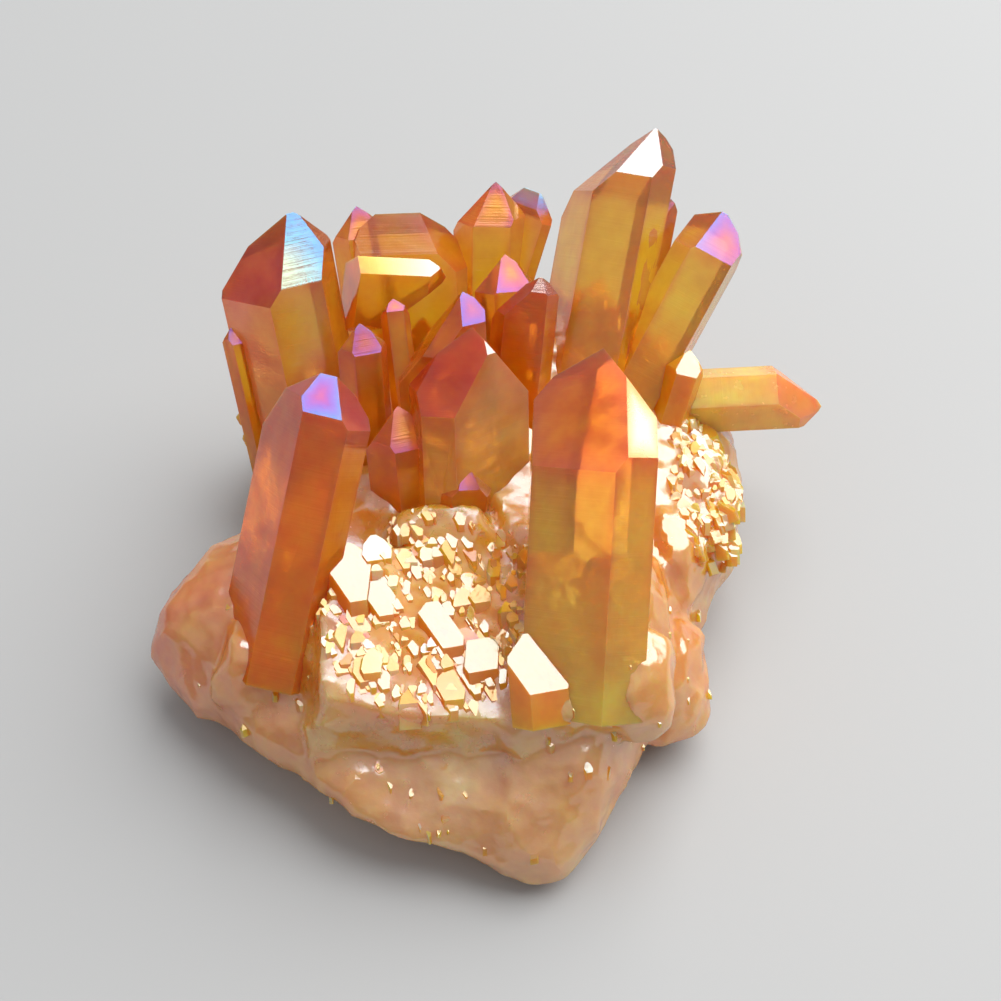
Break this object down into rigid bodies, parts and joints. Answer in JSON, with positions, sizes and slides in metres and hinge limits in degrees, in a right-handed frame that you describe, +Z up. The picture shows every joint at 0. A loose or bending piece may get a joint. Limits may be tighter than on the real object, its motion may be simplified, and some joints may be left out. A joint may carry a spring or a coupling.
{
  "type": "quartz crystal cluster",
  "caption": "Cluster of pointed six-sided quartz crystals grown together on a lumpy drusy mass with a flat seat.",
  "frame": {"origin": "centre of the flat seat, below the middle of the whole cluster", "axes": "+Z up from the seat, -Y towards the blunt end that the picture shows in front, +X towards the lying crystal"},
  "size_m": [0.0669, 0.0674, 0.0366],
  "materials": {
    "orange_quartz": "glossy see-through orange quartz with a thin iridescent skin, milky peach at its base"
  },
  "bodies": {
    "root": {"quartz_cluster": "orange_quartz"}
  },
  "joints": []
}
